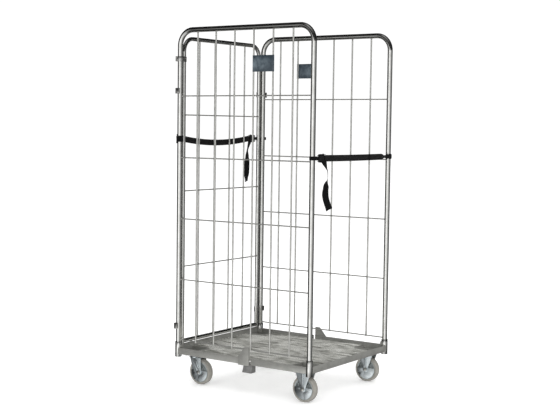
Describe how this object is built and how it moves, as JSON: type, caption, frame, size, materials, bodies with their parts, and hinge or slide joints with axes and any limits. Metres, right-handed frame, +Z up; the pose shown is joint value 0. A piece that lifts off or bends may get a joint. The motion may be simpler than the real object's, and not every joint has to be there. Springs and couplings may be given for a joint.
{
  "type": "roll cage container",
  "caption": "Wheeled steel roll cage: wire side frames plugged into a mesh base on castors, a hinged rear gate, and buckled webbing straps across the open front and the back.",
  "frame": {"origin": "on the floor, under the middle of the cage", "axes": "+Z up; the open front faces -Y and the gate is at +Y; +X is to the right when facing the gate from the front"},
  "size_m": [0.7406, 0.8282, 1.75],
  "materials": {
    "zinc_tube": "bright zinc plate, polished, with faint drawing lines",
    "zinc_wire": "bright zinc plated wire",
    "zinc_strip": "zinc plated strip, slightly dull",
    "base_steel": "galvanised angle and plate, dull, mottled",
    "deck_wire": "zinc plated wire, rubbed by loads",
    "pocket_steel": "dark grey paint",
    "castor_steel": "blue zinc plated pressings",
    "fastener_steel": "zinc plated",
    "bearing_steel": "polished balls",
    "tread_grey": "grey, matt, lightly scuffed",
    "wheel_grey": "pale blue-grey moulding",
    "label_plate": "dark blue-grey paint, blank",
    "webbing_black": "black polyester webbing, ribbed weave",
    "buckle_black": "black coated steel"
  },
  "bodies": {
    "base": {"rail_front": "base_steel", "rail_rear": "base_steel", "side_rails": "base_steel", "corner_sockets": "zinc_tube", "socket_stops": "base_steel", "socket_gussets": "base_steel", "corner_pans": "base_steel", "deck_wires_across": "deck_wire", "deck_wires_along": "deck_wire", "deck_bearers": "base_steel", "stacking_tongue_left": "base_steel", "stacking_tongue_right": "base_steel", "stacking_pocket_left": "pocket_steel", "stacking_pocket_right": "pocket_steel", "castor_plate_fasteners": "fastener_steel", "rigid_forks": "castor_steel", "wheel_guards_front": "castor_steel", "axles_front": "fastener_steel", "swivel_plates": "castor_steel", "kingpins": "fastener_steel"},
    "swivel_left": {"race_balls_left": "bearing_steel", "swivel_fork_left": "castor_steel", "axle_rear_left": "fastener_steel", "wheel_guards_rear_left": "castor_steel"},
    "swivel_right": {"race_balls_right": "bearing_steel", "swivel_fork_right": "castor_steel", "axle_rear_right": "fastener_steel", "wheel_guards_rear_right": "castor_steel"},
    "wheel_front_left": {"wheel_tread_front_left": "tread_grey", "wheel_core_front_left": "wheel_grey"},
    "wheel_front_right": {"wheel_tread_front_right": "tread_grey", "wheel_core_front_right": "wheel_grey"},
    "wheel_rear_left": {"wheel_tread_rear_left": "tread_grey", "wheel_core_rear_left": "wheel_grey"},
    "wheel_rear_right": {"wheel_tread_rear_right": "tread_grey", "wheel_core_rear_right": "wheel_grey"},
    "side_frame_left": {"side_tube_left": "zinc_tube", "side_uprights_left": "zinc_wire", "side_cross_wires_left": "zinc_wire", "label_plate_left": "label_plate"},
    "side_frame_right": {"side_tube_right": "zinc_tube", "side_uprights_right": "zinc_wire", "side_cross_wires_right": "zinc_wire", "label_plate_right": "label_plate"},
    "gate": {"gate_tube": "zinc_tube", "gate_bottom_tube": "zinc_tube", "gate_uprights": "zinc_wire", "gate_cross_wires": "zinc_wire", "gate_hooks": "zinc_strip", "gate_hinge_clip": "zinc_strip"},
    "front_strap": {"front_strap_webbing": "webbing_black", "front_strap_buckle": "buckle_black", "front_strap_hook": "buckle_black", "front_strap_tail": "webbing_black"},
    "front_buckle_lever": {"front_strap_lever": "buckle_black"},
    "rear_strap": {"rear_strap_webbing": "webbing_black", "rear_strap_buckle": "buckle_black", "rear_strap_hook": "buckle_black", "rear_strap_tail": "webbing_black"},
    "rear_buckle_lever": {"rear_strap_lever": "buckle_black"}
  },
  "joints": [
    {"name": "castor_swivel_left", "type": "hinge", "parent": "base", "child": "swivel_left", "pos_m": [-0.2853, 0.3263, 0.13], "axis": [0, 0, 1], "continuous": true},
    {"name": "castor_swivel_right", "type": "hinge", "parent": "base", "child": "swivel_right", "pos_m": [0.2853, 0.3263, 0.13], "axis": [0, 0, 1], "continuous": true},
    {"name": "wheel_spin_front_left", "type": "hinge", "parent": "base", "child": "wheel_front_left", "pos_m": [-0.2853, -0.3263, 0.0625], "axis": [1, 0, 0], "continuous": true},
    {"name": "wheel_spin_front_right", "type": "hinge", "parent": "base", "child": "wheel_front_right", "pos_m": [0.2853, -0.3263, 0.0625], "axis": [1, 0, 0], "continuous": true},
    {"name": "wheel_spin_rear_left", "type": "hinge", "parent": "swivel_left", "child": "wheel_rear_left", "pos_m": [-0.2853, 0.2903, 0.0625], "axis": [1, 0, 0], "continuous": true},
    {"name": "wheel_spin_rear_right", "type": "hinge", "parent": "swivel_right", "child": "wheel_rear_right", "pos_m": [0.2853, 0.2903, 0.0625], "axis": [1, 0, 0], "continuous": true},
    {"name": "side_frame_lift_left", "type": "slide", "parent": "base", "child": "side_frame_left", "axis": [0, 0, 1], "range_m": [0, 0.075]},
    {"name": "side_frame_lift_right", "type": "slide", "parent": "base", "child": "side_frame_right", "axis": [0, 0, 1], "range_m": [0, 0.075]},
    {"name": "gate_swing", "type": "hinge", "parent": "side_frame_left", "child": "gate", "pos_m": [-0.3473, 0.3873, 0.95], "axis": [0, 0, 1], "range_deg": [0, 225]},
    {"name": "front_strap_swing", "type": "hinge", "parent": "side_frame_left", "child": "front_strap", "pos_m": [-0.3473, -0.3873, 1.136], "axis": [0, 0, 1], "range_deg": [-120, 0]},
    {"name": "rear_strap_swing", "type": "hinge", "parent": "gate", "child": "rear_strap", "pos_m": [-0.3473, 0.3873, 1.212], "axis": [0, 0, 1], "range_deg": [0, 90]},
    {"name": "front_buckle_lever_open", "type": "hinge", "parent": "front_strap", "child": "front_buckle_lever", "pos_m": [-0.291, -0.4083, 1.136], "axis": [0, 0, 1], "range_deg": [0, 75], "stiffness_Nm_per_rad": 0.05, "springref_deg": -17.19},
    {"name": "rear_buckle_lever_open", "type": "hinge", "parent": "rear_strap", "child": "rear_buckle_lever", "pos_m": [0.265, 0.4083, 1.212], "axis": [0, 0, 1], "range_deg": [0, 75], "stiffness_Nm_per_rad": 0.05, "springref_deg": -17.19}
  ]
}
